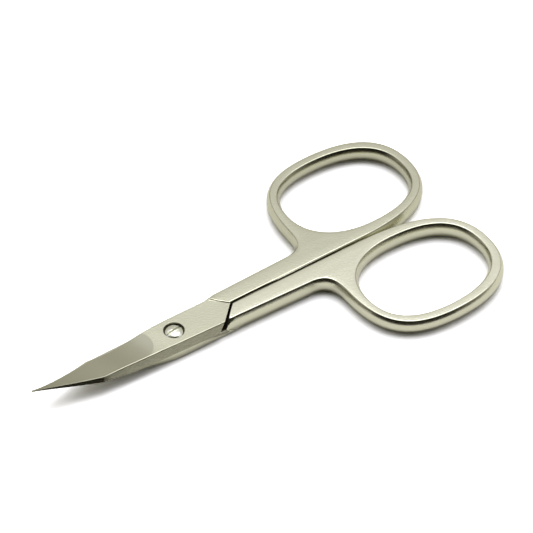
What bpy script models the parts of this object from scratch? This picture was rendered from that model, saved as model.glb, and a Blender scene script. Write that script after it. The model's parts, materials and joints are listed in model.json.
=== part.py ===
"""Toenail scissors: two lapped steel halves that turn on one slotted screw.

Frame: metres, +Z up. The origin is the middle of the closed scissors' footprint, on the surface that they lie
on. The finger rings lie towards +X and the points towards -X. At rest the scissors are closed. The pieces are
modelled about the screw's axis, and an empty on that axis, which carries them all, puts it in its place.

Both halves are made alike. A half is worked out in its own terms: x along it, y towards its own ring, and
w up from the plane where the two laps meet towards its own outer face. The upper half has its outer face up
and its ring on +Y. The lower half is the same forging turned over about X, so its ring is on -Y. Only the
blades differ: both sweep up, towards the upper half's outer face.
"""

import math

import bmesh
import bpy
from mathutils import Vector
from mathutils.geometry import interpolate_bezier

MM = 0.001

SATIN_NICKEL = (0.60, 0.59, 0.48)
POLISHED_NICKEL = (0.72, 0.72, 0.66)
SATIN_ROUGHNESS = 0.30
POLISHED_ROUGHNESS = 0.12
SHARP_ANGLE = math.radians(30.0)

# Thickness of the forging
SHANK_THICKNESS = 3.8 * MM      # through a shank, which is also both laps together
RING_THICKNESS = 3.3 * MM       # at the outer side of a finger ring, where the forging is thinnest
THINNING_START = 4.3 * MM       # distance from the middle line where the rings begin to thin
PANEL_RECESS = 0.20 * MM        # how far the ground lap panel lies below the shank's face
LAP_GAP = 0.14 * MM             # between the mating faces of the laps and blades
MEETING_GAP = 0.20 * MM         # between the two shanks when closed

# Rounded walls of shanks and rings
WALL_BULGE = 0.70 * MM          # how far the wall stands out at mid height
WALL_BANDS = 6
EDGE_ROUND = 0.32 * MM          # radius between a flat face and the wall
CROWN_WIDTH = 0.80 * MM         # belt grinding leaves a flat face this far in from its edge ...
CROWN_RISE = 0.03 * MM          # ... and lets the strip outside fall away by so little
EDGE_BANDS = 4
CREASE_WIDTH = 0.30 * MM        # the small ramp from the panel up to the shank's face

# Finger ring: its hole, and the rim round it
HOLE_START = 34.65 * MM         # from the screw's axis along the scissors
HOLE_LENGTH = 27.5 * MM
HOLE_WIDTH = 20.9 * MM
HOLE_OFFSET = 2.65 * MM         # from the middle line to the hole
WIDEST_ALONG = 0.475            # share of the hole's length where hole and ring are widest
WIDEST_ACROSS = 0.505           # share of the hole's width where it is longest
RIM_AT_SHANK = 1.65 * MM
RIM_OUTER = 1.45 * MM
RIM_AT_END = 1.45 * MM
HOLE_FULLNESS = (0.62, 0.67, 0.64, 0.67)
RING_FULLNESS = (0.72, 0.70, 0.64, 0.68, 0.80, 0.57)
FLAT_RUN = 7.5 * MM             # how far the straight inner side runs on beside the hole

# Shank
SHOULDER_AT = 13.45 * MM        # where the shoulder's line meets the middle line
SHOULDER_ANGLE = math.radians(45.0)
SHOULDER_GAP = 0.40 * MM        # between a shoulder and the other half's lap, at the outer face
SHOULDER_DRAFT = 0.45 * MM      # the shoulder's foot lies this much nearer the screw than its top edge
LAP_END_DRAFT = 0.75 * MM       # so does the foot of the lap's end
HEEL_WIDTH = 3.45 * MM          # middle line to the outer end of the shoulder
HEEL_ROUND = 0.8 * MM           # how far its rounded corner reaches along both sides
HEEL_FULLNESS = 0.6
HEEL_STEPS = 5
CREASE_REACH = 3.18 * MM        # middle line to the outer end of the ramp, on the outer face
STEP_INSIDE_LAP = 0.25 * MM
SHANK_START = 12.65 * MM        # where the shank's outer side is straight from
SHANK_WIDTH_AT_LAP = 3.48 * MM
SHANK_WIDTH_AT_RING = 3.95 * MM
INNER_OFFSET_AT_LAP = 0.20 * MM
INNER_OFFSET_AT_RING = 0.42 * MM
NECK_LENGTH = 5.0 * MM          # the curve from the shank into the ring
NECK_FULLNESS = (0.70, 0.74)
NECK_RISE = 6.2 * MM

# Blade
BLADE_REACH = 30.85 * MM
KINK_AT = 17.05 * MM            # where the spine is ground away to make the point
KINK_LEAN_OUT = 0.42 * MM       # the kink line leans this far towards the point at its foot
LAP_END_HALF_WIDTH = 3.72 * MM  # on the spine side, where the lap ends at the other half's shoulder
LAP_HALF_WIDTH = 3.35 * MM      # on the spine side, beside the screw
LAP_EDGE_WIDTH = 3.18 * MM      # on the cutting side, beside the screw
LOWER_LAP_EXTRA = 0.45 * MM     # the lower lap's cutting side stands out this much more
EXTRA_ENDS = (1.0 * MM, 7.2 * MM)   # and loses it between these distances from the screw
KINK_HALF_WIDTH = 2.70 * MM
POINT_HALF_WIDTH = 0.10 * MM
THICKNESS_KNOT = 12.15 * MM     # a place between screw and kink where the blade's thickness is given
GRIND_START = 5.0 * MM          # where the blade begins to be ground thin
POINT_CURVE = 1.3               # above 1 hollows the outline between kink and point
SPINE_LEAN = 0.46               # outward run of the side facet for each unit of height
POINT_LEAN = 0.62
EDGE_LEAN = 0.12                # the same for the cutting side
LAP_ROUND = 0.25 * MM           # radius along the lap's outer edges
LAP_ROUND_STEPS = 4
SPINE_THICKNESS_MID = 1.56 * MM
SPINE_THICKNESS_AT_KINK = 0.98 * MM
SPINE_THICKNESS_AT_POINT = 0.15 * MM
EDGE_THICKNESS_MID = 0.50 * MM
EDGE_THICKNESS_AT_KINK = 0.35 * MM
EDGE_THICKNESS_AT_POINT = 0.12 * MM
SWEEP_START = 7.15 * MM         # distance from the screw's axis where the blades begin to curve up
SWEEP_RADIUS = 76.0 * MM
BLADE_STEPS = 14                # stations from the grind's start to the kink, and again to the point

# Screw
HEAD_DIAMETER = 3.70 * MM
HEAD_SINK = 0.32 * MM           # rim of the head below the lap panel
HEAD_EDGE = 0.20 * MM
HEAD_CROWN = 0.34 * MM
CROWN_STEPS = 6
HEAD_CONE = 0.62 * MM
SHANK_DIAMETER = 2.30 * MM
RECESS_CLEARANCE = 0.15 * MM    # round the head's rim
RUNNING_CLEARANCE = 0.05 * MM   # round the cone and shank
TAIL_SINK = 0.16 * MM           # end of the screw above the lower half's lap panel
SLOT_WIDTH = 0.38 * MM
SLOT_DEPTH = 0.45 * MM
SLOT_ANGLE = math.radians(7.0)
ROUND_STEPS = 48

CURVE_STEPS = 16
OVERRUN = 1.0 * MM              # how far a cutter passes through what it cuts

HALF_THICKNESS = SHANK_THICKNESS / 2
MATING_FACE = LAP_GAP / 2
PANEL_FACE = HALF_THICKNESS - PANEL_RECESS
LAP_END_AT = SHOULDER_AT - SHOULDER_GAP / math.sin(SHOULDER_ANGLE)
PANEL_END_AT = LAP_END_AT - CREASE_WIDTH / math.sin(SHOULDER_ANGLE)
WALL_RADIUS = (HALF_THICKNESS ** 2 + WALL_BULGE ** 2) / (2 * WALL_BULGE)
WALL_CENTRE = WALL_BULGE - WALL_RADIUS
ROUND_HEIGHT = HALF_THICKNESS - CROWN_RISE - EDGE_ROUND      # middle of the edge's arc, from mid thickness
ROUND_ANGLE = math.asin(ROUND_HEIGHT / (WALL_RADIUS - EDGE_ROUND))
ROUND_CENTRE = WALL_CENTRE + (WALL_RADIUS - EDGE_ROUND) * math.cos(ROUND_ANGLE)
HOLE_END = HOLE_START + HOLE_LENGTH
HOLE_TOP = HOLE_OFFSET + HOLE_WIDTH
RING_START = HOLE_START - RIM_AT_SHANK
RING_END = HOLE_END + RIM_AT_END
RING_TOP = HOLE_TOP + RIM_OUTER
HEAD_RIM = HALF_THICKNESS + PANEL_FACE - HEAD_SINK
SCREW_AXIS_X = (BLADE_REACH - RING_END - WALL_BULGE) / 2


def clear_scene():
    for item in list(bpy.data.objects):
        bpy.data.objects.remove(item, do_unlink=True)


def make_collection(name):
    collection = bpy.data.collections.new(name)
    bpy.context.scene.collection.children.link(collection)
    return collection


def make_material(name, colour, roughness):
    material = bpy.data.materials.new(name)
    material.use_nodes = True
    shader = material.node_tree.nodes["Principled BSDF"]
    shader.inputs["Base Color"].default_value = (*colour, 1.0)
    shader.inputs["Roughness"].default_value = roughness
    shader.inputs["Metallic"].default_value = 1.0
    material.diffuse_color = (*colour, 1.0)
    return material


def make_axis(collection):
    axis = bpy.data.objects.new("screw_axis", None)
    axis.location.x = SCREW_AXIS_X
    axis.empty_display_size = SHANK_THICKNESS
    collection.objects.link(axis)
    return axis


def make_object(name, bm, axis, collection, material=None):
    mesh = bpy.data.meshes.new(name)
    bmesh.ops.recalc_face_normals(bm, faces=bm.faces)
    bm.to_mesh(mesh)
    bm.free()
    mesh.shade_smooth()
    mesh.set_sharp_from_angle(angle=SHARP_ANGLE)
    return place_object(name, mesh, axis, collection, material)


def place_object(name, mesh, axis, collection, material):
    """A part has a material. A cutter has none, and isn't rendered."""
    item = bpy.data.objects.new(name, mesh)
    item.parent = axis
    collection.objects.link(item)
    if material:
        mesh.materials.append(material)
    else:
        item.hide_render = True
        item.display_type = "WIRE"
    return item


def cut(item, operation, tool):
    modifier = item.modifiers.new(tool.name, "BOOLEAN")
    modifier.operation = operation
    modifier.solver = "EXACT"
    modifier.object = tool


# Outlines

def curve_run(start, handle_out, handle_in, end, steps=CURVE_STEPS):
    """Points of one Bezier stretch, without its last."""
    points = interpolate_bezier(start, handle_out, handle_in, end, steps + 1)
    return [Vector(point[:2]) for point in points[:-1]]


def quarter(start, end, along_x_first, fullness_start, fullness_end):
    """A quarter turn whose two handles lie along the axes."""
    corner = Vector((end.x, start.y)) if along_x_first else Vector((start.x, end.y))
    handle_out = start.lerp(corner, fullness_start)
    handle_in = end.lerp(corner, fullness_end)
    return curve_run(start, handle_out, handle_in, end)


def straight_run(start, end, steps):
    return [start.lerp(end, step / steps) for step in range(steps)]


def hole_outline():
    """The finger hole where it meets the flat face, counter-clockwise from its shank side."""
    middle_x = HOLE_START + HOLE_LENGTH * WIDEST_ALONG
    middle_y = HOLE_OFFSET + HOLE_WIDTH * WIDEST_ACROSS
    left = Vector((HOLE_START, middle_y))
    bottom = Vector((middle_x, HOLE_OFFSET))
    right = Vector((HOLE_END, middle_y))
    top = Vector((middle_x, HOLE_TOP))
    first, second, third, fourth = HOLE_FULLNESS
    points = quarter(left, bottom, False, first, first)
    points += quarter(bottom, right, True, second, second)
    points += quarter(right, top, False, third, third)
    points += quarter(top, left, True, fourth, fourth)
    return points


def on_slant(meets_middle_at, y):
    """A point of a line at the shoulder's angle, y away from the middle line."""
    return Vector((meets_middle_at - y / math.tan(SHOULDER_ANGLE), y))


def handle_outline():
    """The shank and ring where they meet the flat face, counter-clockwise.

    The first and last points are the two ends of the shoulder, which handle_solid sets level by level.
    """
    inner_start = on_slant(SHOULDER_AT, INNER_OFFSET_AT_LAP)
    heel = on_slant(SHOULDER_AT, HEEL_WIDTH)
    shank_start = Vector((SHANK_START, SHANK_WIDTH_AT_LAP))
    flat_end = Vector((HOLE_START + FLAT_RUN, INNER_OFFSET_AT_RING))
    right = Vector((RING_END, HOLE_OFFSET + HOLE_WIDTH * WIDEST_ACROSS))
    top = Vector((HOLE_START + HOLE_LENGTH * WIDEST_ALONG, RING_TOP))
    left = Vector((RING_START, SHANK_WIDTH_AT_RING + NECK_RISE))
    neck = Vector((RING_START - NECK_LENGTH, SHANK_WIDTH_AT_RING))
    up_left, up_top, down_top, down_right, inner_right, inner_flat = RING_FULLNESS
    points = straight_run(inner_start, flat_end, 8)
    points += quarter(flat_end, right, True, inner_flat, inner_right)
    points += quarter(right, top, False, down_right, down_top)
    points += quarter(top, left, True, up_top, up_left)
    points += quarter(left, neck, False, NECK_FULLNESS[1], NECK_FULLNESS[0])
    points += straight_run(neck, shank_start, 6)
    points += straight_run(shank_start, heel, 2)
    points.append(heel)
    return points


def heel_corner(corner):
    """The rounded corner between the shank's outer side and its slanted end."""
    start = corner + Vector((HEEL_ROUND, 0))
    end = corner + Vector((math.cos(SHOULDER_ANGLE), -math.sin(SHOULDER_ANGLE))) * HEEL_ROUND
    points = curve_run(start, start.lerp(corner, HEEL_FULLNESS), end.lerp(corner, HEEL_FULLNESS), end,
                       HEEL_STEPS)
    points.append(end)
    return points


def outward(points, index):
    """Normal of a counter-clockwise outline at one of its points."""
    before = points[index - 1]
    after = points[(index + 1) % len(points)]
    along = (after - before).normalized()
    return Vector((along.y, -along.x))


# Solids

def thinning(y):
    """How much of the shank's thickness is left at this distance from the middle line."""
    share = max(0.0, y - THINNING_START) / (RING_TOP - THINNING_START)
    return 1.0 - share * (1.0 - RING_THICKNESS / SHANK_THICKNESS)


def rise(x, y):
    """How far a blade has curved up. It depends on the distance from the screw alone."""
    beyond = math.hypot(x, y) - SWEEP_START
    if x > 0 or beyond <= 0:
        return 0.0
    return beyond ** 2 / (2 * SWEEP_RADIUS)


def place(side, x, y, w):
    """A half's own terms turned to world coordinates: side is 1 for the upper half, -1 for the lower."""
    return Vector((x, side * y, HALF_THICKNESS + side * w + rise(x, y)))


def bridge(bm, rings):
    """Side faces through a list of closed rings of vertices, with a face over each end."""
    for lower, upper in zip(rings, rings[1:]):
        for index in range(len(lower)):
            following = (index + 1) % len(lower)
            bm.faces.new((lower[index], lower[following], upper[following], upper[index]))
    bm.faces.new(list(reversed(rings[0])))
    bm.faces.new(rings[-1])


def wall_offset(height):
    """How far the wall stands out at a height from mid thickness.

    It is one broad round and a smaller one at each edge. Above that edge the crown runs in over the flat face.
    """
    beyond = abs(height) - ROUND_HEIGHT
    if beyond > EDGE_ROUND:
        return ROUND_CENTRE - CROWN_WIDTH * (beyond - EDGE_ROUND) / CROWN_RISE
    if abs(height) > WALL_RADIUS * math.sin(ROUND_ANGLE):
        return ROUND_CENTRE + math.sqrt(max(0.0, EDGE_ROUND ** 2 - beyond ** 2))
    return WALL_CENTRE + math.sqrt(WALL_RADIUS ** 2 - height ** 2)


def wall_levels():
    """Heights and outward offsets up the wall, from one flat face to the other."""
    upper = [HALF_THICKNESS]
    for band in range(EDGE_BANDS + 1):
        angle = math.radians(90) + (ROUND_ANGLE - math.radians(90)) * band / EDGE_BANDS
        upper.append(ROUND_HEIGHT + EDGE_ROUND * math.sin(angle))
    middle = [WALL_RADIUS * math.sin(ROUND_ANGLE * (2 * band / WALL_BANDS - 1))
              for band in range(1, WALL_BANDS)]
    heights = [-height for height in upper] + middle + upper[::-1]
    return [(height, wall_offset(height)) for height in heights]


def shoulder_at(height):
    """Where the shoulder meets the middle line: it leans towards the screw on its way to the mating face."""
    return SHOULDER_AT - SHOULDER_DRAFT * (height + HALF_THICKNESS) / HALF_THICKNESS


def lap_end_at(height):
    return LAP_END_AT - LAP_END_DRAFT * (PANEL_FACE - height) / (PANEL_FACE - MATING_FACE)


def ramp_at(height):
    """Where the ramp from the lap panel up to the flat face meets the middle line."""
    return PANEL_END_AT + (LAP_END_AT - PANEL_END_AT) * max(0.0, height - PANEL_FACE) / PANEL_RECESS


def handle_levels():
    """Heights up a handle: outward offset, where the slanted end meets the middle line, and its outer end.

    Up to the mating face the end is the shoulder. Further up the handle runs on into its own lap, and ends in
    the small ramp down to the lap panel. The step between the two lies inside the lap.
    """
    step_low = MATING_FACE + STEP_INSIDE_LAP
    step_high = step_low + STEP_INSIDE_LAP
    levels = [(height, offset, shoulder_at(height), HEEL_WIDTH)
              for height, offset in wall_levels() if height < step_low]
    levels.append((step_low, wall_offset(step_low), shoulder_at(step_low), HEEL_WIDTH))
    upper = [step_high, PANEL_FACE] + [height for height, offset in wall_levels() if height > step_high]
    levels += [(height, wall_offset(height), ramp_at(height), CREASE_REACH) for height in sorted(upper)]
    return levels


def handle_solid(side):
    """Shank and ring without the hole, with round walls and the shoulder's plain face."""
    points = handle_outline()
    bm = bmesh.new()
    rings = []
    for height, offset, slant_at, heel_reach in handle_levels():
        outline = [on_slant(slant_at, max(INNER_OFFSET_AT_LAP - offset, MEETING_GAP / 2))]
        for index in range(1, len(points) - 1):
            moved = points[index] + outward(points, index) * offset
            moved.y = max(moved.y, MEETING_GAP / 2)
            outline.append(moved)
        outline += heel_corner(on_slant(slant_at, heel_reach + offset))
        rings.append([bm.verts.new(place(side, point.x, point.y, height)) for point in outline])
    bridge(bm, rings)
    thin_rings(bm, side)
    return bm


def thin_rings(bm, side):
    """Cuts the flat faces where the thinning starts, then brings both faces of the ring closer."""
    geometry = list(bm.verts) + list(bm.edges) + list(bm.faces)
    line = Vector((0, side * THINNING_START, 0))
    bmesh.ops.bisect_plane(bm, geom=geometry, plane_co=line, plane_no=Vector((0, 1, 0)))
    for vertex in bm.verts:
        height = vertex.co.z - HALF_THICKNESS
        vertex.co.z = HALF_THICKNESS + height * thinning(side * vertex.co.y)


def hole_solid(side):
    """The finger hole as a cutter: narrowest at mid height, because the ring's wall is round."""
    points = hole_outline()
    levels = [(-HALF_THICKNESS - OVERRUN, 0.0)]
    levels += list(wall_levels())
    levels.append((HALF_THICKNESS + OVERRUN, 0.0))
    bm = bmesh.new()
    rings = []
    for height, offset in levels:
        ring = []
        for index, point in enumerate(points):
            moved = point - outward(points, index) * offset
            lifted = HALF_THICKNESS + height * thinning(moved.y)
            ring.append(bm.verts.new(Vector((moved.x, side * moved.y, lifted))))
        rings.append(ring)
    bridge(bm, rings)
    return bm


def graded(knots, s):
    """A smooth value through (distance, value) knots, level beyond them."""
    if s <= knots[0][0]:
        return knots[0][1]
    if s >= knots[-1][0]:
        return knots[-1][1]
    slopes = [0.0]
    for (before, low), (after, high) in zip(knots, knots[2:]):
        slopes.append((high - low) / (after - before))
    slopes.append((knots[-1][1] - knots[-2][1]) / (knots[-1][0] - knots[-2][0]))
    index = max(i for i, knot in enumerate(knots) if knot[0] <= s)
    (start, low), (end, high) = knots[index], knots[index + 1]
    run = end - start
    u = (s - start) / run
    return (low * (2 * u ** 3 - 3 * u ** 2 + 1) + high * (3 * u ** 2 - 2 * u ** 3)
            + run * slopes[index] * (u ** 3 - 2 * u ** 2 + u) + run * slopes[index + 1] * (u ** 3 - u ** 2))


def point_share(s):
    """From 1 at the kink to 0 at the point, hollowed a little."""
    left = max(0.0, (BLADE_REACH - s) / (BLADE_REACH - KINK_AT))
    return left ** POINT_CURVE


def spine_width(s):
    """Middle line to the spine, at the outer face, s along the blade from the screw."""
    if s > KINK_AT:
        return POINT_HALF_WIDTH + (KINK_HALF_WIDTH - POINT_HALF_WIDTH) * point_share(s)
    if s < 0:
        lap_end = on_slant(LAP_END_AT, LAP_END_HALF_WIDTH).x
        return LAP_HALF_WIDTH + (LAP_END_HALF_WIDTH - LAP_HALF_WIDTH) * -s / lap_end
    return LAP_HALF_WIDTH + (KINK_HALF_WIDTH - LAP_HALF_WIDTH) * s / KINK_AT


def edge_width(side, s):
    """Middle line to the cutting side, at the outer face."""
    if s > KINK_AT:
        return POINT_HALF_WIDTH + (KINK_HALF_WIDTH - POINT_HALF_WIDTH) * point_share(s)
    extra = 0.0
    if side < 0:
        extra = graded([(EXTRA_ENDS[0], LOWER_LAP_EXTRA), (EXTRA_ENDS[1], 0.0)], s)
    return extra + LAP_EDGE_WIDTH + (KINK_HALF_WIDTH - LAP_EDGE_WIDTH) * max(0.0, s) / KINK_AT


def spine_thickness(s):
    return graded([(GRIND_START, PANEL_FACE), (THICKNESS_KNOT, SPINE_THICKNESS_MID),
                   (KINK_AT, SPINE_THICKNESS_AT_KINK), (BLADE_REACH, SPINE_THICKNESS_AT_POINT)], s)


def edge_thickness(s):
    return graded([(GRIND_START / 2, PANEL_FACE), (THICKNESS_KNOT, EDGE_THICKNESS_MID),
                   (KINK_AT, EDGE_THICKNESS_AT_KINK), (BLADE_REACH, EDGE_THICKNESS_AT_POINT)], s)


def rounded(corner, before, after, radius):
    """An arc in place of the corner between two straight lines that are given by a further point of each."""
    towards_start = (before - corner).normalized()
    towards_end = (after - corner).normalized()
    reach = radius / math.tan(towards_start.angle(towards_end) / 2)
    start = corner + towards_start * reach
    end = corner + towards_end * reach
    return [start.lerp(corner, u).lerp(corner.lerp(end, u), u)
            for u in (step / LAP_ROUND_STEPS for step in range(LAP_ROUND_STEPS + 1))]


def blade_section(side, s, foot_s, lean):
    """Outline of the lap or blade: up the spine side, over both rounded tops, and down the cutting side."""
    foot_width = spine_width(foot_s) + lean * spine_thickness(foot_s)
    spine = spine_thickness(s)
    edge = edge_thickness(s)
    spine_foot = place(side, -foot_s, -foot_width, MATING_FACE)
    spine_top = place(side, -s, -spine_width(s), spine)
    edge_top = place(side, -s, edge_width(side, s), edge)
    edge_foot = place(side, -s, edge_width(side, s) + EDGE_LEAN * edge, MATING_FACE)
    section = [spine_foot]
    section += rounded(spine_top, spine_foot, edge_top, LAP_ROUND * spine / PANEL_FACE)
    section += rounded(edge_top, spine_top, edge_foot, LAP_ROUND * edge / PANEL_FACE)
    section.append(edge_foot)
    return section


def lap_and_blade_solid(side):
    """Lap and blade in one run, from inside the shank to the point."""
    lap_end = SHOULDER_AT + OVERRUN
    sections = [blade_section(side, s, s, SPINE_LEAN) for s in (-lap_end, 0.0, GRIND_START / 2)]
    for step in range(BLADE_STEPS):
        s = GRIND_START + (KINK_AT - GRIND_START) * step / BLADE_STEPS
        sections.append(blade_section(side, s, s, SPINE_LEAN))
    for step in range(BLADE_STEPS + 1):
        s = KINK_AT + (BLADE_REACH - KINK_AT) * step / BLADE_STEPS
        foot_s = s + KINK_LEAN_OUT * (BLADE_REACH - s) / (BLADE_REACH - KINK_AT)
        sections.append(blade_section(side, s, foot_s, POINT_LEAN))
    bm = bmesh.new()
    bridge(bm, [[bm.verts.new(corner) for corner in section] for section in sections])
    return bm


def lap_end_cutter(side):
    """Everything past the line beside the other half's shoulder, SHOULDER_GAP away from it."""
    reach = SHOULDER_AT
    bm = bmesh.new()
    rings = []
    for height in (-OVERRUN, SHANK_THICKNESS):
        meets_middle_at = lap_end_at(height)
        start = Vector((meets_middle_at - reach / math.tan(SHOULDER_ANGLE), -reach))
        end = Vector((meets_middle_at + reach / math.tan(SHOULDER_ANGLE), reach))
        beyond = Vector((2 * reach, 0))
        corners = [start, start + beyond, end + beyond, end]
        rings.append([bm.verts.new(place(side, corner.x, corner.y, height)) for corner in corners])
    bridge(bm, rings)
    return bm


# The screw

def turned(name, profile, axis, collection, material=None):
    """A solid of revolution about Z from (radius, height) points, listed from the top down."""
    mesh = bpy.data.meshes.new(name)
    points = [(radius, 0.0, height) for radius, height in profile]
    mesh.from_pydata(points, [(index, index + 1) for index in range(len(points) - 1)], [])
    item = place_object(name, mesh, axis, collection, material)
    screw = item.modifiers.new("turn", "SCREW")
    screw.steps = ROUND_STEPS
    screw.render_steps = ROUND_STEPS
    screw.use_merge_vertices = True
    screw.merge_threshold = 0.00001
    screw.use_smooth_shade = True
    return item


def screw_profile():
    """From the crown of the head, over its rim, down the cone and the shank to the tail."""
    head_radius = HEAD_DIAMETER / 2
    crown_radius = (head_radius ** 2 + HEAD_CROWN ** 2) / (2 * HEAD_CROWN)
    profile = []
    for step in range(CROWN_STEPS + 1):
        radius = head_radius * step / CROWN_STEPS
        drop = crown_radius - math.sqrt(crown_radius ** 2 - radius ** 2)
        profile.append((radius, HEAD_RIM + HEAD_CROWN - drop))
    profile.append((head_radius, HEAD_RIM - HEAD_EDGE))
    profile.append((SHANK_DIAMETER / 2, HEAD_RIM - HEAD_EDGE - HEAD_CONE))
    tail = PANEL_RECESS + TAIL_SINK
    profile.append((SHANK_DIAMETER / 2, tail))
    profile.append((0.0, tail))
    return profile


def recess_profile():
    """The upper half's stepped hole: the same cone and shank with their clearances, open at both ends."""
    rim_radius = HEAD_DIAMETER / 2 + RECESS_CLEARANCE
    shank_radius = SHANK_DIAMETER / 2 + RUNNING_CLEARANCE
    floor = HEAD_RIM - HEAD_EDGE - RUNNING_CLEARANCE
    return [
        (0.0, SHANK_THICKNESS + OVERRUN),
        (rim_radius, SHANK_THICKNESS + OVERRUN),
        (rim_radius, floor),
        (shank_radius, floor - HEAD_CONE - RUNNING_CLEARANCE),
        (shank_radius, -OVERRUN),
        (0.0, -OVERRUN),
    ]


def tapped_hole_profile():
    radius = SHANK_DIAMETER / 2 + RUNNING_CLEARANCE
    return [
        (0.0, SHANK_THICKNESS + OVERRUN),
        (radius, SHANK_THICKNESS + OVERRUN),
        (radius, -OVERRUN),
        (0.0, -OVERRUN),
    ]


def make_screw(axis, parts, cutters, material):
    screw = turned("pivot_screw", screw_profile(), axis, parts, material)
    slot_floor = HEAD_RIM + HEAD_CROWN - SLOT_DEPTH
    bm = bmesh.new()
    bmesh.ops.create_cube(bm, size=1.0)
    for vertex in bm.verts:
        vertex.co.x *= HEAD_DIAMETER * 2
        vertex.co.y *= SLOT_WIDTH
        vertex.co.z = slot_floor + (vertex.co.z + 0.5) * OVERRUN * 2
    slot = make_object("slot_cutter", bm, axis, cutters)
    slot.rotation_euler.z = SLOT_ANGLE
    cut(screw, "DIFFERENCE", slot)


def make_half(name, side, hole_profile, axis, parts, cutters, material):
    """One forging: handle, minus its finger hole, plus lap and blade, minus the hole for the screw."""
    half = make_object(name, handle_solid(side), axis, parts, material)
    finger_hole = make_object(name + "_finger_hole", hole_solid(side), axis, cutters)
    blade = make_object(name + "_lap_and_blade", lap_and_blade_solid(side), axis, cutters)
    lap_end = make_object(name + "_lap_end", lap_end_cutter(side), axis, cutters)
    screw_hole = turned(name + "_screw_hole", hole_profile, axis, cutters)
    cut(blade, "DIFFERENCE", lap_end)
    cut(half, "DIFFERENCE", finger_hole)
    cut(half, "UNION", blade)
    cut(half, "DIFFERENCE", screw_hole)


def main():
    clear_scene()
    parts = make_collection("toenail_scissors")
    cutters = make_collection("cutters")
    axis = make_axis(parts)
    satin = make_material("satin_nickel_plate", SATIN_NICKEL, SATIN_ROUGHNESS)
    polished = make_material("polished_nickel_screw", POLISHED_NICKEL, POLISHED_ROUGHNESS)
    make_half("upper_half", 1, recess_profile(), axis, parts, cutters, satin)
    make_half("lower_half", -1, tapped_hole_profile(), axis, parts, cutters, satin)
    make_screw(axis, parts, cutters, polished)


main()
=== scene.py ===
# %% [markdown]
# # Toenail scissors in satin nickel
#
# The scissors are small and simple: two steel halves, alike from lap to finger ring, and the slotted
# screw that they turn on. What makes them look real is the metal. Each half is forged, ground, satin
# finished and nickel plated, and its blade is then ground again and polished, so one piece of steel shows
# two finishes.
#
# The CAD model has the shapes, down to the rounded edges. This file adds the small things that the eye
# looks for (dark slits, a broken edge round the screw), then smooth shading, the metal and a plain
# studio. Nothing moves away from where the CAD put it.

# %% Load the CAD model
import json
import math

import bpy
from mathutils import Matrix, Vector


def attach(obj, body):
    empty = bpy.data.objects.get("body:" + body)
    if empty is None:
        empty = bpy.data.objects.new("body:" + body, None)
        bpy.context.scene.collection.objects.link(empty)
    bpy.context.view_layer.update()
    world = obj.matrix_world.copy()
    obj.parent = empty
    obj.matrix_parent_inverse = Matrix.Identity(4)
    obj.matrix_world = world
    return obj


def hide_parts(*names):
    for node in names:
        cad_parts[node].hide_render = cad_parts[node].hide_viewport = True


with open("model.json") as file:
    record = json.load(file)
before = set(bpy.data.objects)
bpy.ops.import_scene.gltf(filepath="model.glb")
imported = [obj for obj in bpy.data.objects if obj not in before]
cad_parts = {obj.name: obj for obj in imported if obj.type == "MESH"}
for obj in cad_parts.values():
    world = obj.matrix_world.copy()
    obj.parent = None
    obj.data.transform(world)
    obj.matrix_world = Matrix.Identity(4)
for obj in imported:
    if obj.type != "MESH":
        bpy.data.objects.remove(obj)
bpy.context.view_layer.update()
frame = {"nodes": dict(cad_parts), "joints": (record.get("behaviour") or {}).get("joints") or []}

MM = 0.001
print("pieces:", sorted(frame["nodes"]))

# %% [markdown]
# ## The camera
#
# The photograph was taken from 45.5 degrees above the table and 34 degrees round from the scissors' side,
# with a long lens from about half a metre. A long lens keeps the far ring nearly as large as the near
# one. The camera could be placed by eye, but its distance and its lens trade against each other, so it is
# placed from the screw: so far back along the view, and so far to the side.

# %% Camera
VIEW_ELEVATION = math.radians(45.528)
VIEW_AZIMUTH = math.radians(-34.029)
VIEW_DISTANCE = 560 * MM
SHANK_THICKNESS = 3.8 * MM
SCREW_TOP = Vector((frame["joints"][0]["pos_m"][0], 0, SHANK_THICKNESS))
AIM_FROM_SCREW = Vector((23.60 * MM, 3.96 * MM, 0))
LENS_MM, SENSOR_MM = 197.74, 36.0
NEAREST_SEEN = 10 * MM


def add_camera():
    data = bpy.data.cameras.new("camera")
    data.lens = LENS_MM
    data.sensor_width = SENSOR_MM
    data.clip_start = NEAREST_SEEN
    camera = bpy.data.objects.new("camera", data)
    bpy.context.scene.collection.objects.link(camera)
    camera.rotation_euler = (math.pi / 2 - VIEW_ELEVATION, 0, VIEW_AZIMUTH)
    towards_camera = camera.rotation_euler.to_matrix() @ Vector((0, 0, 1))
    camera.location = SCREW_TOP + AIM_FROM_SCREW + towards_camera * VIEW_DISTANCE
    bpy.context.scene.camera = camera
    return camera


print("camera at", [round(value, 4) for value in add_camera().location])

# %% [markdown]
# ## The two halves
#
# A drop-forged half comes out of its dies with round walls, and belt grinding leaves its top nearly flat.
# The CAD has both, and the 0.3 mm round between them that catches the light as a fine bright line. The
# halves could be modelled again from a primitive, but each curve would only be copied by eye, so a copy
# of each CAD solid is used.
#
# A CAD mesh is loose triangles. Its copy is merged and the triangles of each flat face are joined, so
# that whole faces can be picked out.

# %% Copy the halves
SAME_POINT = 0.001 * MM
SAME_PLANE = math.radians(0.3)


def select_only(item):
    bpy.ops.object.select_all(action="DESELECT")
    bpy.context.view_layer.objects.active = item
    item.select_set(True)


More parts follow.
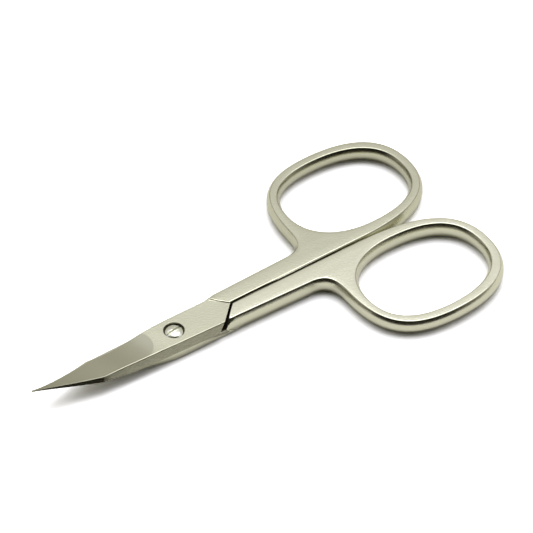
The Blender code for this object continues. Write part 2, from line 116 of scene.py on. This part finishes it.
def merged_copy(node, name):
    """A copy of a CAD node with its loose triangles joined into one skin of whole faces."""
    item = bpy.data.objects.new(name, frame["nodes"][node].data.copy())
    bpy.context.scene.collection.objects.link(item)
    item.data.materials.clear()
    select_only(item)
    bpy.ops.object.mode_set(mode="EDIT")
    bpy.ops.mesh.select_all(action="SELECT")
    bpy.ops.mesh.remove_doubles(threshold=SAME_POINT)
    bpy.ops.mesh.customdata_custom_splitnormals_clear()
    bpy.ops.mesh.dissolve_limited(angle_limit=SAME_PLANE)
    bpy.ops.object.mode_set(mode="OBJECT")
    print(name, "has", len(item.data.polygons), "faces")
    return item


upper = merged_copy("upper_half", "upper_blade_and_ring")
lower = merged_copy("lower_half", "lower_blade_and_ring")
SIDES = ((upper, 1), (lower, -1))

# %% [markdown]
# ## Picking out parts of a mesh
#
# By hand, faces are clicked on. A script picks them by where they lie and which way they face. Numbered
# faces would do too, but their numbers change with the CAD model. Places are given from the middle of the
# screw. Seen from there, and but for its blade, the lower half is the upper one turned over, so only the
# signs of its width and height differ.

# %% Place, select, move
SCREW_MIDDLE = Vector((SCREW_TOP.x, 0, SHANK_THICKNESS / 2))


def place_of(point):
    """A point as seen from the middle of the screw."""
    return point - SCREW_MIDDLE


def select_parts(item, kind, wanted):
    """Goes into edit mode with only those faces, edges or vertices selected that pass a test."""
    select_only(item)
    bpy.ops.object.mode_set(mode="EDIT")
    bpy.ops.mesh.select_mode(type=kind)
    bpy.ops.mesh.select_all(action="DESELECT")
    bpy.ops.object.mode_set(mode="OBJECT")
    parts = {"FACE": item.data.polygons, "EDGE": item.data.edges, "VERT": item.data.vertices}[kind]
    for part in parts:
        part.select = wanted(part)
    bpy.ops.object.mode_set(mode="EDIT")
    return sum(part.select for part in parts)


def move_selected(offset):
    """Moves what is selected and leaves edit mode."""
    bpy.ops.transform.translate(value=offset)
    bpy.ops.object.mode_set(mode="OBJECT")


print("middle of the screw at", [round(value, 4) for value in SCREW_MIDDLE])

# %% [markdown]
# ## The slits
#
# Each lap ends in a 45 degree cut just short of the other half's shoulder, and the two shanks meet only
# at their broadest. Both gaps show as black lines, because hardly any light comes out of them again. In
# the CAD they are as narrow as the parts allow. On the real scissors the lap's end is ground back by
# hand, so here it goes back 0.12 mm along and as much across. The inner walls of the shanks go back by
# 0.14 mm, the upper one only as far as the line stays black. The corner where a shank meets its shoulder
# slides 0.42 mm along the cut, so that the line is broadest there and narrows towards the rings. A darker
# paint alone would leave the lines too thin. The long faces of the walls are cut into triangles first,
# because they don't stay flat when only some of their corners move.

# %% Widen the slits
SLIT_AT = 13.0 * MM             # a slit's distance from the screw, along and across added up
SLIT_REACH = 0.9 * MM           # its faces lie within this of it ...
SLIT_LEAN = 0.7                 # ... stand, so that their normals rise less than this ...
SLIT_SQUARE = 0.85              # ... and are about square to the 45 degree line
FACES_RINGS = 0.4               # a lap's end faces the rings by more than this, and a shoulder doesn't
SLIT_WIDENING = 0.12 * MM
INNER_WALL = 0.62 * MM          # the shanks' inner walls lie this near to the middle line
SHANKS_FROM = 13.5 * MM
SHANKS_TO = {1: 22.0 * MM, -1: 36.0 * MM}    # of the upper half and of the lower
WALL_BACK = 0.14 * MM
CORNER_FROM, CORNER_BELOW = 12.95 * MM, 1.5 * MM
CORNER_BACK = 0.30 * MM


def in_slit(face):
    """Faces the slit between a lap's end and the other half's shoulder."""
    place = place_of(face.center)
    across = Vector((1, math.copysign(1, place.y), 0)).normalized()
    return (abs(place.x + abs(place.y) - SLIT_AT) < SLIT_REACH and abs(face.normal.z) < SLIT_LEAN
            and abs(face.normal.dot(across)) > SLIT_SQUARE)


def on_lap_end(face):
    return in_slit(face) and face.normal.x > FACES_RINGS


def on_inner_wall(vertex, side):
    place = place_of(vertex.co)
    return abs(place.y) < INNER_WALL and SHANKS_FROM < place.x < SHANKS_TO[side]


def touches_inner_wall(half, face, side):
    return any(on_inner_wall(half.data.vertices[index], side) for index in face.vertices)


def on_shoulder_corner(vertex, side):
    place = place_of(vertex.co)
    return (abs(place.y) < INNER_WALL and CORNER_FROM < place.x < SHANKS_FROM
            and side * place.z < -CORNER_BELOW)


for half, side in SIDES:
    ends = select_parts(half, "FACE", on_lap_end)
    move_selected((-SLIT_WIDENING, side * SLIT_WIDENING, 0))
    select_parts(half, "FACE", lambda face: touches_inner_wall(half, face, side))
    bpy.ops.mesh.quads_convert_to_tris(ngon_method="BEAUTY")
    bpy.ops.object.mode_set(mode="OBJECT")
    walls = select_parts(half, "VERT", lambda vertex: on_inner_wall(vertex, side))
    move_selected((0, side * WALL_BACK, 0))
    corner = select_parts(half, "VERT", lambda vertex: on_shoulder_corner(vertex, side))
    move_selected((-CORNER_BACK, side * CORNER_BACK, 0))
    print(half.name, "lap end faces", ends, "inner wall vertices", walls, "corner vertices", corner)

# %% [markdown]
# ## The lower lap's side
#
# Below the dark side of the upper lap runs a lighter strip, the side of the lower lap. It is light
# because it leans out a little towards its foot, so it mirrors the white table further off. It could be
# turned as a whole, but then it would step where the blade and the shank begin. So its foot is drawn out
# by up to half a millimetre, a twelfth at a time, and by nothing at either end.

# %% Lean the side
FLARE = 0.50 * MM
FLARE_STEPS = 12
FLARE_FROM, FLARE_FULL, FLARE_FALLS, FLARE_ENDS = -12 * MM, 5 * MM, 8 * MM, 13.1 * MM    # from the screw
LAP_SIDE = 2.3 * MM             # the side lies further out than this ...
FOOT_BELOW = 1.0 * MM           # ... and its foot lower than this, seen from the middle of the screw


def flare_share(x):
    """How much of the flare a point has: none at the blade, all of it along the lap, none on the shank."""
    rising = (x - FLARE_FROM) / (FLARE_FULL - FLARE_FROM)
    falling = (FLARE_ENDS - x) / (FLARE_ENDS - FLARE_FALLS)
    return max(0.0, min(1.0, rising, falling))


def on_foot(vertex, step):
    """Whether a vertex is on the foot and has this many twelfths of the flare."""
    place = place_of(vertex.co)
    return (place.y < -LAP_SIDE and place.z < -FOOT_BELOW
            and math.ceil(flare_share(place.x) * FLARE_STEPS) == step)


moved = 0
for step in range(1, FLARE_STEPS + 1):
    moved += select_parts(lower, "VERT", lambda vertex: on_foot(vertex, step))
    move_selected((0, -FLARE * step / FLARE_STEPS, 0))
print("foot vertices moved", moved)

# %% [markdown]
# ## The edge of the screw's recess
#
# The recess is cut last on the real scissors and its edge is broken with a larger drill, which leaves a
# fine bright ring. A ring of its own would only lie on the lap, so the edge is bevelled, by 0.1 mm.

# %% Break the edge
PANEL_RECESS = 0.20 * MM        # the ground lap lies this much lower than the shank
PANEL_FACE = SHANK_THICKNESS / 2 - PANEL_RECESS
RECESS_RADIUS = 2.0 * MM
RADIUS_WITHIN, HEIGHT_WITHIN = 0.05 * MM, 0.02 * MM
RECESS_BEVEL = 0.10 * MM
BEVEL_SEGMENTS = 3


def on_recess_edge(edge):
    places = [place_of(upper.data.vertices[index].co) for index in edge.vertices]
    return all(abs(place.xy.length - RECESS_RADIUS) < RADIUS_WITHIN
               and abs(place.z - PANEL_FACE) < HEIGHT_WITHIN for place in places)


print("recess edges", select_parts(upper, "EDGE", on_recess_edge))
bpy.ops.mesh.bevel(offset=RECESS_BEVEL, segments=BEVEL_SEGMENTS, affect="EDGES")
bpy.ops.object.mode_set(mode="OBJECT")

# %% [markdown]
# ## Creases
#
# All edges that turn by less than 30 degrees are shaded smooth. Two gentler ones are sharp in the steel:
# the foot of the ramp that rises from the lap to the shank, and the outline of the small facet at the
# point, which is ground last. A smaller angle for all would crease the round walls as well, so these two
# are picked out and marked. On the lower half both look down at the table, and little of them is found:
# its ramp leans with the lap's side, and of its facet only the few faces beside the kink lie as expected.

# %% Mark the creases
SMOOTH_BELOW = math.radians(30)
RAMP_WIDTH = 0.30 * MM
RAMP_SLOPE = math.atan(PANEL_RECESS / RAMP_WIDTH)
RAMP_WITHIN = math.radians(3)
FACET_NORMAL = Vector((-0.14, -0.82, 0.55))     # which way the upper half's facet faces
FACET_WITHIN = math.radians(7)
FACET_FROM = -15 * MM


def crease_ramp_foot(half, side):
    """Marks the edges where the ramp to the shank meets the lap."""
    across = math.sin(RAMP_SLOPE) / math.sqrt(2)
    ramp = Vector((-across, -side * across, side * math.cos(RAMP_SLOPE)))
    select_parts(half, "FACE", lambda face: face.normal.angle(ramp) < RAMP_WITHIN)
    bpy.ops.mesh.region_to_loop()
    bpy.ops.object.mode_set(mode="OBJECT")
    foot = [edge.select and all(abs(place_of(half.data.vertices[index].co).z) < PANEL_FACE + HEIGHT_WITHIN
                                for index in edge.vertices) for edge in half.data.edges]
    count = select_parts(half, "EDGE", lambda edge: foot[edge.index])
    bpy.ops.mesh.mark_sharp()
    bpy.ops.object.mode_set(mode="OBJECT")
    return count


def crease_point_facet(half, side):
    """Marks the outline of the faces at the point that lie as the facet does."""
    normal = Vector((FACET_NORMAL.x, side * FACET_NORMAL.y, side * FACET_NORMAL.z))
    count = select_parts(half, "FACE", lambda face: face.normal.angle(normal) < FACET_WITHIN
                         and place_of(face.center).x < FACET_FROM)
    bpy.ops.mesh.region_to_loop()
    bpy.ops.mesh.mark_sharp()
    bpy.ops.object.mode_set(mode="OBJECT")
    return count


for half, side in SIDES:
    select_only(half)
    bpy.ops.object.shade_smooth_by_angle(angle=SMOOTH_BELOW)
    print(half.name, "ramp edges", crease_ramp_foot(half, side))
    print(half.name, "facet faces", crease_point_facet(half, side))

# %% [markdown]
# ## Flat tops, round edges
#
# A ground face is flat, and the round beside it turns within a third of a millimetre. Plain smooth
# shading spreads that turn over the whole face and makes it look pressed from sheet. Weighted normals let
# the large faces keep their own direction. The lower lap's side is left out: it is a little rounded, and
# shared normals show it that way.

# %% Weight the normals
SHARED_NORMALS_BELOW = 0.15 * MM


def apply_modifier(item, name, kind, **settings):
    modifier = item.modifiers.new(name, kind)
    for key, value in settings.items():
        setattr(modifier, key, value)
    select_only(item)
    bpy.ops.object.modifier_apply(modifier=name)


def on_rounded_side(place, side):
    return side < 0 and place.y < -LAP_SIDE and place.z < -SHARED_NORMALS_BELOW and flare_share(place.x) > 0


for half, side in SIDES:
    flat = [vertex.index for vertex in half.data.vertices if not on_rounded_side(place_of(vertex.co), side)]
    half.vertex_groups.new(name="flat").add(flat, 1.0, "REPLACE")
    apply_modifier(half, "flat_faces", "WEIGHTED_NORMAL", keep_sharp=True, vertex_group="flat")
    print(half.name, "keeps flat normals at", len(flat), "of", len(half.data.vertices), "vertices")

# %% [markdown]
# ## Where shade is painted
#
# The slits and the wall of the screw's recess lie in shade. That shade is painted on: each face gets a
# number for it, 1 in a slit and less in the recess, which the metal reads to turn dark brown. A bundle of
# darker faces with a material of their own would do too, but the number keeps each half one piece of
# metal.

# %% Mark the dark places
RECESS_REACH = 2.1 * MM
RECESS_LEAN = 0.6               # its wall stands, so that its normals rise less than this
RECESS_SHADE = 0.8

# Painted shade: the faces of a slit get 1 and the recess wall less.
for half in (upper, lower):
    dark = half.data.attributes.new("crevice_shade", "FLOAT", "FACE")
    for face in half.data.polygons:
        if in_slit(face):
            dark.data[face.index].value = 1.0
        elif abs(face.normal.z) < RECESS_LEAN and place_of(face.center).xy.length < RECESS_REACH:
            dark.data[face.index].value = RECESS_SHADE
    print(half.name, "dark faces", sum(value.value > 0 for value in dark.data))

# %% [markdown]
# ## The screw
#
# The head is turned: a low crown that drops faster near its rim, so the side nearest the eye mirrors the
# lamp and then, at the very rim, the dark of the room. It could be spun from a new profile, but the slot
# would have to be cut again. The CAD crown is a plain arc, so its rings of vertices are raised or lowered
# by less than 0.1 mm to give that profile. A narrow bevel breaks the rim and the slot's edges.

# %% Shape the screw's head
HEAD_ABOVE = 1.30 * MM          # seen from the middle of the screw, only the head lies higher
# Each ring of the crown out to this radius is raised by so much.
HEAD_RISE = ((0.75 * MM, 0.07 * MM), (1.10 * MM, 0.08 * MM), (1.40 * MM, 0.08 * MM),
             (1.70 * MM, 0.045 * MM), (1.90 * MM, -0.03 * MM))
SCREW_BEVEL = 0.05 * MM


def in_ring(vertex, inner, outer):
    place = place_of(vertex.co)
    return place.z > HEAD_ABOVE and inner < place.xy.length <= outer


screw = merged_copy("pivot_screw", "slotted_screw")
inner = -1.0                    # below any radius, so that the first ring takes in the middle
for outer, rise in HEAD_RISE:
    count = select_parts(screw, "VERT", lambda vertex: in_ring(vertex, inner, outer))
    move_selected((0, 0, rise))
    print(f"ring to {outer / MM:.2f} mm: {count} vertices")
    inner = outer
apply_modifier(screw, "edge_round", "BEVEL", width=SCREW_BEVEL, segments=BEVEL_SEGMENTS,
               limit_method="ANGLE", angle_limit=SMOOTH_BELOW, use_clamp_overlap=True)
select_only(screw)
bpy.ops.object.shade_smooth_by_angle(angle=SMOOTH_BELOW)

# %% [markdown]
# ## Making materials
#
# Every surface is made of nodes. Wiring them by hand in the editor is quick, but in a script each takes
# several lines, so one function adds a node with its settings and links, and a material then reads from
# top to bottom. Another turns a hex colour into the linear values that a shader wants.

# %% Colours and nodes
def linear(hex_colour):
    """An sRGB hex colour as the linear values that a shader wants."""
    channels = [int(hex_colour[i:i + 2], 16) / 255 for i in (1, 3, 5)]
    return [c / 12.92 if c <= 0.04045 else ((c + 0.055) / 1.055) ** 2.4 for c in channels] + [1.0]


def add_node(tree, kind, settings=None):
    """Adds a node and sets its properties and sockets. A node given to a socket links its first output."""
    node = tree.nodes.new("ShaderNode" + kind)
    for key, value in (settings or {}).items():
        if isinstance(value, bpy.types.Node):
            value = value.outputs[0]
        if isinstance(value, bpy.types.NodeSocket):
            tree.links.new(value, node.inputs[key])
        elif isinstance(key, str) and hasattr(node, key):
            setattr(node, key, value)
        else:
            node.inputs[key].default_value = value
    return node


def new_material(name, **values):
    """A material, its nodes and its shader, with the values that are the same all over set on the shader."""
    material = bpy.data.materials.new(name)
    material.use_nodes = True
    shader = material.node_tree.nodes["Principled BSDF"]
    for key, value in values.items():
        shader.inputs[key.replace("_", " ")].default_value = value
    return material, material.node_tree, shader


print("white as linear:", linear("#ffffff"))

# %% [markdown]
# ## Where the blade is polished
#
# After plating, the blade is ground again on a wheel and polished. The wheel's edge leaves an arc beside
# the screw: inside it the metal is a shade deeper and its mirror clearer. The arc could be cut into the
# mesh. It is painted instead, because it has no depth: a circle round a place near the screw, open
# towards the point. Only faces that lie flat are ground, and the flanks keep their satin.

# %% Polished grind
GRIND_CENTRE = Vector((SCREW_TOP.x - 8.81 * MM, 0.76 * MM, 0))
GRIND_RADIUS = 3.90 * MM
GRIND_FADE = 0.22 * MM
GRIND_DEPTH = 0.5 * MM          # how far past the circle's middle all is ground
GROUND_FLATNESS = (0.75, 0.85)  # where a face begins to be ground, and where it is fully


def flatness(tree):
    """1 where a face lies flat and 0 where it stands, whichever way it faces."""
    normal = add_node(tree, "SeparateXYZ", {0: add_node(tree, "NewGeometry").outputs["Normal"]})
    return add_node(tree, "Math", {"operation": "ABSOLUTE", 0: normal.outputs["Z"]})


def grind_mask(tree, place, side):
    """1 on the polished grind, 0 on the satin: within the arc, or nearer the point than its middle."""
    centre = Vector((GRIND_CENTRE.x, side * GRIND_CENTRE.y, 0))
    offset = add_node(tree, "VectorMath", {"operation": "SUBTRACT", 0: place, 1: centre})
    parts = add_node(tree, "SeparateXYZ", {0: offset}).outputs
    towards_rings = add_node(tree, "Math", {"operation": "MAXIMUM", 0: parts["X"], 1: 0.0})
    level = add_node(tree, "CombineXYZ", {"X": towards_rings, "Y": parts["Y"]})
    distance = add_node(tree, "VectorMath", {"operation": "LENGTH", 0: level}).outputs["Value"]
    inside = add_node(tree, "MapRange", {"Value": distance, "From Min": GRIND_RADIUS,
                                         "From Max": GRIND_RADIUS + GRIND_FADE,
                                         "To Min": 1.0, "To Max": 0.0})
    beyond = add_node(tree, "MapRange", {"Value": parts["X"], "From Min": 0.0, "From Max": -GRIND_DEPTH})
    ground = add_node(tree, "Math", {"operation": "MAXIMUM", 0: inside, 1: beyond})
    flat = add_node(tree, "MapRange", {"Value": flatness(tree), "From Min": GROUND_FLATNESS[0],
                                       "From Max": GROUND_FLATNESS[1]})
    return add_node(tree, "Math", {"operation": "MULTIPLY", 0: ground, 1: flat})


print(f"polished arc of {GRIND_RADIUS / MM:.2f} mm round x {GRIND_CENTRE.x / MM:.2f} mm")

# %% [markdown]
# ## Where the satin is worn
#
# Hands, and tumbling before them, wear the rounds between a top and a wall, so the white and black lines
# that they mirror are crisp. An edge mask could be painted by hand. The slope of the surface finds a round
# as well, because it neither lies flat nor stands. The small facet at the point slopes as much and is worn a
# little with them.

# %% Worn rounds
ROUND_FROM_WALL = (0.43, 0.50)      # flatness where the wear begins and where it is full, from the wall ...
ROUND_FROM_TOP = (0.999, 0.985)     # ... and from the top
ROUND_WEAR = 0.55                   # of the way from satin to polished


def worn_rounds_mask(tree):
    """How far the satin is worn off: not at all on a top or a wall, and most on the round between them."""
    from_wall = add_node(tree, "MapRange", {"Value": flatness(tree), "From Min": ROUND_FROM_WALL[0],
                                            "From Max": ROUND_FROM_WALL[1]})
    from_top = add_node(tree, "MapRange", {"Value": flatness(tree), "From Min": ROUND_FROM_TOP[0],
                                           "From Max": ROUND_FROM_TOP[1], "To Max": ROUND_WEAR})
    return add_node(tree, "Math", {"operation": "MULTIPLY", 0: from_wall, 1: from_top})


print(f"rounds {ROUND_WEAR:.0%} of the way to polished")

# %% [markdown]
# ## Where shade is painted in the slits
#
# The floor of each slit lies in shade as well. It is part of the other half's flat mating face, so it
# can't be marked face by face as the slit's sides were. It is found by place instead: a strip at the
# slit's distance from the screw, near the middle of the height, where shade is painted.

# %% Painted shade in the slits
# Each pair is where the painted shade begins and where it is full.
SHADE_INNER = (11.7 * MM, 11.9 * MM)    # distance from the screw, along and across added up
SHADE_OUTER = (13.5 * MM, 13.3 * MM)
SHADE_HEIGHT = (0.50 * MM, 0.35 * MM)   # above or below the middle
SHADE_WIDTH = (3.95 * MM, 3.80 * MM)    # to either side of the middle line


def painted_shade_mask(tree, place):
    """Painted shade: 1 on the floor of the slits, and the number that a face was marked with elsewhere."""
    offset = add_node(tree, "VectorMath", {"operation": "SUBTRACT", 0: place, 1: SCREW_MIDDLE})
    parts = add_node(tree, "SeparateXYZ", {0: offset}).outputs
    aside = add_node(tree, "Math", {"operation": "ABSOLUTE", 0: parts["Y"]})
    above = add_node(tree, "Math", {"operation": "ABSOLUTE", 0: parts["Z"]})
    along = add_node(tree, "Math", {"operation": "ADD", 0: parts["X"], 1: aside})
    mask = add_node(tree, "MapRange", {"Value": along, "From Min": SHADE_INNER[0],
                                       "From Max": SHADE_INNER[1]})
    for value, (gone, full) in ((along, SHADE_OUTER), (above, SHADE_HEIGHT), (aside, SHADE_WIDTH)):
        share = add_node(tree, "MapRange", {"Value": value, "From Min": gone, "From Max": full})
        mask = add_node(tree, "Math", {"operation": "MULTIPLY", 0: mask, 1: share})
    marked = add_node(tree, "Attribute", {"attribute_name": "crevice_shade"}).outputs["Fac"]
    return add_node(tree, "Math", {"operation": "MAXIMUM", 0: mask, 1: marked})


print(f"painted_shade from {SHADE_INNER[1] / MM:.1f} to {SHADE_OUTER[1] / MM:.1f} mm from the screw")

# %% [markdown]
# ## Satin nickel
#
# Bright nickel is a warm, slightly green white. Over satin-finished steel it keeps the satin: fine
# grinding leaves bumps of a few hundredths of a millimetre, which blur what the metal mirrors and break
# its light up into grain, shallower on the flanks than on top. A belt is never quite flat either, so
# broad, very low waves run over each face. A roughness alone would blur the mirror too, but it gives no
# grain, so both sizes of bump are there as well.

# %% Satin nickel
# The real grain is under 0.1 mm wide, too fine to show, so it is drawn as coarse as it needs to be to show.
GRAIN = 0.40 * MM
GRAIN_HEIGHT = 0.055 * MM
WAVES = 5.0 * MM
WAVE_HEIGHT = 0.015 * MM
SATIN_ROUGHNESS, POLISHED_ROUGHNESS = 0.24, 0.13
SATIN_GRAIN, POLISHED_GRAIN = 0.30, 0.05
FLANK_GRAIN = 0.35              # of the top's
FLANK_FLATNESS, TOP_FLATNESS = 0.3, 0.9
POLISHED_TONE = 0.86
# Dark brown, painted as shade into the slits and on the recess wall.
PAINTED_SHADE_COLOUR = "#35322a"


def bumps(tree, place, size, height, detail=1.0, roughness=0.5, **bump_settings):
    """Bumps of this size and height. Detail lays finer ones on them, and roughness makes those stand out."""
    heights = add_node(tree, "TexNoise", {"Vector": place, "Scale": 1 / size, "Detail": detail,
                                          "Roughness": roughness})
    return add_node(tree, "Bump", {"Height": heights, "Distance": height, **bump_settings})


def satin_nickel(name, side, tone):
    """One half's plate: grainy satin, painted shade in the slits, a clearer, deeper mirror on the blade."""
    material, tree, shader = new_material(name, Metallic=1.0)
    place = add_node(tree, "TexCoord").outputs["Object"]
    polish = grind_mask(tree, place, side)
    # The plate turns dark brown where shade is painted: in the slits and on the recess wall.
    # For colours, inputs 6 and 7 of a mix are its two ends and output 2 is the result.
    plate_and_painted_shade = add_node(tree, "Mix", {"data_type": "RGBA", 0: painted_shade_mask(tree, place), 6: linear(tone),
                                   7: linear(PAINTED_SHADE_COLOUR)}).outputs[2]
    depth = add_node(tree, "MapRange", {"Value": polish, "To Min": 1.0, "To Max": POLISHED_TONE})
    toned = add_node(tree, "VectorMath", {"operation": "SCALE", 0: plate_and_painted_shade, "Scale": depth})
    tree.links.new(toned.outputs[0], shader.inputs["Base Color"])

    smoothness = add_node(tree, "Math", {"operation": "MAXIMUM", 0: polish, 1: worn_rounds_mask(tree)})
    roughness = add_node(tree, "MapRange", {"Value": smoothness, "To Min": SATIN_ROUGHNESS,
                                            "To Max": POLISHED_ROUGHNESS})
    tree.links.new(roughness.outputs[0], shader.inputs["Roughness"])

    wavy = bumps(tree, place, WAVES, WAVE_HEIGHT, Strength=1.0)
    grain = add_node(tree, "MapRange", {"Value": polish, "To Min": SATIN_GRAIN, "To Max": POLISHED_GRAIN})
    share = add_node(tree, "MapRange", {"Value": flatness(tree), "From Min": FLANK_FLATNESS,
                                        "From Max": TOP_FLATNESS, "To Min": FLANK_GRAIN})
    strength = add_node(tree, "Math", {"operation": "MULTIPLY", 0: grain, 1: share})
    grainy = bumps(tree, place, GRAIN, GRAIN_HEIGHT, roughness=0.6, Strength=strength, Normal=wavy)
    tree.links.new(grainy.outputs[0], shader.inputs["Normal"])
    return material


# Both halves have one plate, but the lower one, on the camera's side, is painted a shade lighter:
# painted light, for its tops look brighter from there.
satin_upper = satin_nickel("satin_nickel_with_polished_grind_above", 1, "#d0cfba")
satin_lower = satin_nickel("satin_nickel_with_polished_grind_below_painted_lighter", -1, "#e0dfcb")
print(satin_upper.name, "and", satin_lower.name)

# %% [markdown]
# ## Polished nickel on the screw
#
# The screw is plated on its own and brighter than the halves. It gives the eye one hard, white highlight,
# torn at its edge: the crown has been turned and tumbled, so shallow dents and fine scratches bend the
# mirrored lamp. A rougher metal would only blur it.

# %% Polished nickel
DENTS, DENT_HEIGHT = 1.1 * MM, 0.10 * MM
SCRATCHES, SCRATCH_HEIGHT = 0.35 * MM, 0.05 * MM    # broader than real ones, so that they show
SCRATCH_STRENGTH = 0.35

polished, tree, shader = new_material("polished_nickel_screw", Metallic=1.0, Base_Color=linear("#e9e9dc"),
                                      Roughness=0.11)
place = add_node(tree, "TexCoord").outputs["Object"]
dented = bumps(tree, place, DENTS, DENT_HEIGHT, Strength=1.0)
scratched = bumps(tree, place, SCRATCHES, SCRATCH_HEIGHT, detail=3.0, roughness=0.8,
                  Strength=SCRATCH_STRENGTH, Normal=dented)
tree.links.new(scratched.outputs[0], shader.inputs["Normal"])
print(polished.name)

# %% [markdown]
# ## Putting the pieces on the model
#
# Each finished piece takes the place of its CAD node and rides on that node's body, so that the upper
# half turns about the screw with its own metal on.

# %% Ride, replace
for piece, node, body, material, slot in (
        (upper, "upper_half", "upper", satin_upper, "satin_steel"),
        (lower, "lower_half", "lower", satin_lower, "satin_steel"),
        (screw, "pivot_screw", "lower", polished, "polished_screw")):
    piece.data.materials.append(material)
    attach(piece, body)
    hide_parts(node)
    print(piece.name, "rides on", body)

# %% [markdown]
# ## The lamp
#
# Metal shows little but what it mirrors, so the studio is built for its reflections. One square softbox
# hangs beyond the scissors, nearly overhead. The rounded edges mirror it as fine white lines, and it
# draws the soft shadow on the table. More lamps would draw more lines than the photograph has.

# %% Softbox
KEY_AZIMUTH, KEY_ELEVATION = 40, 73     # degrees
KEY_DISTANCE, KEY_SIZE = 1.0, 0.58      # metres
KEY_RADIANCE = 1.9


def toward(azimuth, elevation, distance):
    """The point that lies so many degrees round from +X and above the table, seen from the scissors."""
    azimuth, elevation = math.radians(azimuth), math.radians(elevation)
    return Vector((math.cos(elevation) * math.cos(azimuth), math.cos(elevation) * math.sin(azimuth),
                   math.sin(elevation))) * distance


def add_softbox(name, location, size, radiance):
    """A square lamp that faces the scissors and looks this bright from anywhere in front of it."""
    data = bpy.data.lights.new(name, "AREA")
    data.shape = "SQUARE"
    data.size = size
    data.energy = radiance * math.pi * size * size
    lamp = bpy.data.objects.new(name, data)
    lamp.location = location
    lamp.rotation_euler = location.to_track_quat("Z", "Y").to_euler()
    bpy.context.scene.collection.objects.link(lamp)
    return lamp


key = add_softbox("key", toward(KEY_AZIMUTH, KEY_ELEVATION, KEY_DISTANCE), KEY_SIZE, KEY_RADIANCE)
print(key.name, "of", round(key.data.energy, 3), "W")

# %% [markdown]
# ## The table
#
# The photograph's table is burnt out to white and keeps only a soft shadow. A table as bright as that
# would light the scissors from below, so it is plain pale grey for the light that falls on it, and
# brighter only for the camera and, less so and a shade warmer, for what the metal mirrors of it.

# %% Table
# Two linear colours, because both are brighter than white, which no hex colour is.
FLOOR_SEEN = (2.50, 2.50, 2.57, 1.0)
FLOOR_MIRRORED = (1.30, 1.29, 1.21, 1.0)
FLOOR_SIZE = 6.0                # metres

bpy.ops.mesh.primitive_plane_add(size=FLOOR_SIZE, location=(0, 0, 0))
floor = bpy.context.object
floor.name = "floor"
material, tree, shader = new_material("white_table", Base_Color=linear("#bcbcbc"), Roughness=0.9)
ray = add_node(tree, "LightPath").outputs
straight = add_node(tree, "Math", {"operation": "LESS_THAN", 0: ray["Diffuse Depth"], 1: 0.5})
mirrored = add_node(tree, "Math", {"operation": "MULTIPLY", 0: ray["Is Glossy Ray"], 1: straight})
for_metal = add_node(tree, "MixShader", {0: mirrored, 1: shader,
                                         2: add_node(tree, "BsdfDiffuse", {"Color": FLOOR_MIRRORED})})
for_camera = add_node(tree, "MixShader", {0: ray["Is Camera Ray"], 1: for_metal,
                                          2: add_node(tree, "BsdfDiffuse", {"Color": FLOOR_SEEN})})
tree.links.new(for_camera.outputs[0], tree.nodes["Material Output"].inputs["Surface"])
floor.data.materials.append(material)
print(floor.name, [round(value, 2) for value in floor.dimensions])

# %% [markdown]
# ## The room
#
# The rest of the room is a white tent, dim at table height and bright overhead. It could be built of
# white walls, but a world costs no light bounces and can be as bright as wanted at each height. The flat
# tops mirror the part at 45 degrees, which is why the brightness climbs steeply there: a face that leans
# a degree or two is seen to lean. The camera itself sees plain white.

# %% White tent
# Height of a direction above the table (0 level, 1 overhead), and how bright the tent is there, linear.
TENT = ((0.0, (0.40, 0.385, 0.33)), (0.45, (0.55, 0.54, 0.48)), (0.643, (0.68, 0.67, 0.63)),
        (0.707, (0.83, 0.83, 0.83)), (0.766, (0.93, 0.93, 0.95)), (0.85, (1.03, 1.03, 1.03)),
        (0.985, (0.85, 0.85, 0.85)))

world = bpy.data.worlds.new("studio")
bpy.context.scene.world = world
world.use_nodes = True
tree = world.node_tree
direction = add_node(tree, "TexCoord").outputs["Generated"]
height = add_node(tree, "SeparateXYZ", {0: direction}).outputs["Z"]
tent = add_node(tree, "ValToRGB", {0: height})
while len(tent.color_ramp.elements) < len(TENT):
    tent.color_ramp.elements.new(0.5)
for element, (position, colour) in zip(tent.color_ramp.elements, TENT):
    element.position = position
    element.color = (*colour, 1.0)
print("tent with", len(tent.color_ramp.elements), "steps of brightness")

# %% [markdown]
# ## The tent's open side
#
# On the camera's side the tent is open and the room behind it dark. That side gives the walls of the
# rings their black line and the lap its dark flank. A black card would do too, but its edges would show in
# the metal as hard lines, and these fade.

# %% Dark opening
DARK_ROOM = "#26241d"
OPEN_BELOW, CLOSED_ABOVE = 0.955, 0.998     # heights between which the opening ends
# How squarely a direction points at the camera's side, at the opening's edge and where it is fully dark.
OPENING_EDGE, OPENING = -0.1, 0.57

camera_side = toward(270 + math.degrees(VIEW_AZIMUTH), 0, 1.0)
level = add_node(tree, "VectorMath", {"operation": "MULTIPLY", 0: direction, 1: (1, 1, 0)})
compass = add_node(tree, "VectorMath", {"operation": "NORMALIZE", 0: level})
facing = add_node(tree, "VectorMath", {"operation": "DOT_PRODUCT", 0: compass, 1: camera_side})
beside = add_node(tree, "MapRange", {"Value": facing.outputs["Value"], "From Min": OPENING_EDGE,
                                     "From Max": OPENING})
below = add_node(tree, "MapRange", {"Value": height, "From Min": OPEN_BELOW, "From Max": CLOSED_ABOVE,
                                    "To Min": 1.0, "To Max": 0.0})
opening = add_node(tree, "Math", {"operation": "MULTIPLY", 0: below, 1: beside})
seen_by_metal = add_node(tree, "Mix", {"data_type": "RGBA", 0: opening, 6: tent, 7: linear(DARK_ROOM)})
room = tree.nodes["Background"]
tree.links.new(seen_by_metal.outputs[2], room.inputs["Color"])
white = add_node(tree, "Background", {"Color": linear("#ffffff"), "Strength": 1.0})
from_camera = add_node(tree, "LightPath").outputs["Is Camera Ray"]
surroundings = add_node(tree, "MixShader", {0: from_camera, 1: room, 2: white})
tree.links.new(surroundings.outputs[0], tree.nodes["World Output"].inputs["Surface"])
bpy.context.scene.view_settings.view_transform = "Standard"
print("opening towards", [round(value, 2) for value in camera_side])
